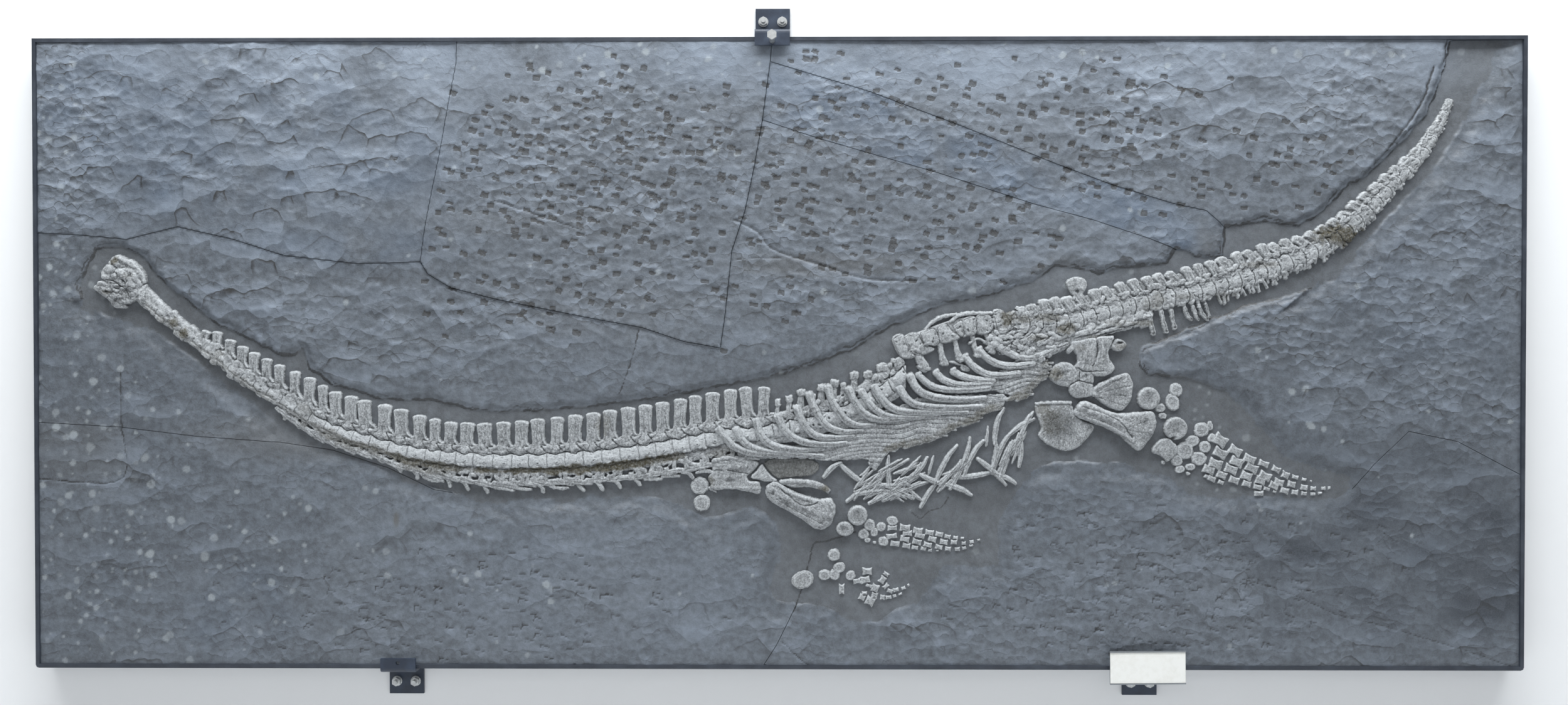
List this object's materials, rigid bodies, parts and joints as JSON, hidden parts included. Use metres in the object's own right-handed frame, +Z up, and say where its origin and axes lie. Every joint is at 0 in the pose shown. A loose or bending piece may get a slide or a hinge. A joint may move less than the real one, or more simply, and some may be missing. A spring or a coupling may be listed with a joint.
{
  "type": "mounted marine reptile skeleton",
  "caption": "Long-necked marine reptile skeleton lying in a blue-grey shale slab, in a thin dark steel frame hung on a wall by steel brackets, with a bare label card",
  "frame": {"origin": "middle of the upper bracket's wall plate, on the face that lies against the wall", "axes": "+X runs along the slab to the right for a viewer in front of it, +Y goes into the wall, +Z is up"},
  "size_m": [3.2, 0.124, 1.497],
  "materials": {
    "steel_paint": "satin",
    "bracket_paint": "satin",
    "zinc": "satin",
    "label_rail": "satin",
    "card": "matte",
    "shale": "matte",
    "blue_shale": "matte",
    "bone": "matte",
    "dark_bone": "matte"
  },
  "bodies": {
    "root": {"steel_frame": "steel_paint", "bracket_top": "bracket_paint", "bracket_lower_left": "bracket_paint", "bracket_lower_right": "bracket_paint", "anchor_top_a": "zinc", "anchor_top_b": "zinc", "anchor_lower_left_a": "zinc", "anchor_lower_left_b": "zinc", "anchor_lower_right_a": "zinc", "anchor_lower_right_b": "zinc", "clamp_screw": "zinc", "label_holder": "label_rail", "label_card": "card", "shale_upper_left": "shale", "shale_upper_middle": "shale", "shale_upper_right": "shale", "shale_blue_band": "blue_shale", "shale_lower_left": "shale", "shale_lower_right": "shale", "shale_main": "shale", "skull": "bone", "neck_a": "bone", "neck_b": "bone", "neck_c": "bone", "neck_d": "bone", "back": "bone", "arch_strand": "bone", "hip_column": "bone", "tail_base": "bone", "tail_middle": "bone", "tail_tip": "bone", "rib_a": "bone", "rib_c": "bone", "rib_d": "bone", "rib_e": "bone", "rib_f": "bone", "rib_g": "bone", "rib_h": "bone", "rib_j": "bone", "rib_l": "bone", "rib_m": "bone", "rib_sheaf_lower": "bone", "rib_sheaf_upper": "bone", "belly_ribs_left": "bone", "belly_ribs_right": "bone", "front_girdle": "bone", "girdle_wedge": "bone", "coracoid_plate": "dark_bone", "shoulder_blade": "bone", "humerus": "bone", "radius_disc": "bone", "ulna_disc": "bone", "ilium": "bone", "pubis": "bone", "ischium_fan": "bone", "femur": "bone", "shin_disc": "bone", "calf_disc": "bone", "hind_fan": "bone"}
  },
  "joints": []
}
